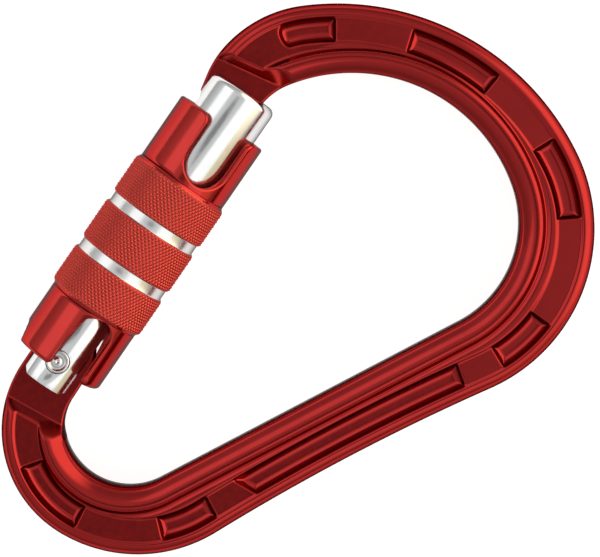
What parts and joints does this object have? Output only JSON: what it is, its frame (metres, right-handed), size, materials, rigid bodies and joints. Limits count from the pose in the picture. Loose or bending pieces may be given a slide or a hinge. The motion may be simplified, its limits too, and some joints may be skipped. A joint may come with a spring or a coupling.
{
  "type": "locking carabiner",
  "caption": "Pear-shaped twist-lock carabiner: pocketed forged frame with round rope bead, sprung inward-opening gate and notched knurled rotating locking sleeve.",
  "frame": {"origin": "centre of the rope basket's inner arc, on the plane that halves the frame's thickness", "axes": "+Y runs parallel to the closed gate, from the hinge to the nose; +X points from the gate across to the spine; +Z stands out of the face with the gate on the left"},
  "size_m": [0.0831, 0.1187, 0.0192],
  "materials": {
    "red_anodised": "glossy red anodised, satin in the knurl",
    "polished_alloy": "tumble-polished bare aluminium",
    "rivet_steel": "turned steel",
    "spring_steel": "drawn stainless spring steel",
    "bush_polymer": "black moulded acetal"
  },
  "bodies": {
    "frame": {"frame": "red_anodised"},
    "gate": {"gate": "polished_alloy", "hinge_rivet": "rivet_steel", "guide_pin": "rivet_steel", "retaining_ring": "spring_steel", "gate_spring": "spring_steel"},
    "plunger": {"gate_plunger": "rivet_steel"},
    "sleeve": {"locking_sleeve": "red_anodised", "lower_bush": "bush_polymer", "upper_bush": "bush_polymer", "track_ring": "rivet_steel", "spring_seat": "spring_steel", "sleeve_spring": "spring_steel"}
  },
  "joints": [
    {"name": "gate_hinge", "type": "hinge", "parent": "frame", "child": "gate", "pos_m": [-0.03257, -0.04834, 0], "axis": [0, 0, -1], "range_deg": [0, 24], "stiffness_Nm_per_rad": 0.5, "springref_deg": -28.65},
    {"name": "plunger_slide", "type": "slide", "parent": "gate", "child": "plunger", "axis": [0, 1, 0], "range_m": [0, 0.00111], "deforming": ["gate_spring"]},
    {"name": "sleeve_turn", "type": "hinge", "parent": "gate", "child": "sleeve", "pos_m": [-0.03257, -0.02139, 0], "axis": [0, 1, 0], "range_deg": [0, 75], "stiffness_Nm_per_rad": 0.02, "springref_deg": -34.38, "deforming": ["sleeve_spring"]}
  ],
  "couplings": [
    {"joint": "plunger_slide", "follows": "gate_hinge", "m_per_rad": 0.0026038}
  ]
}
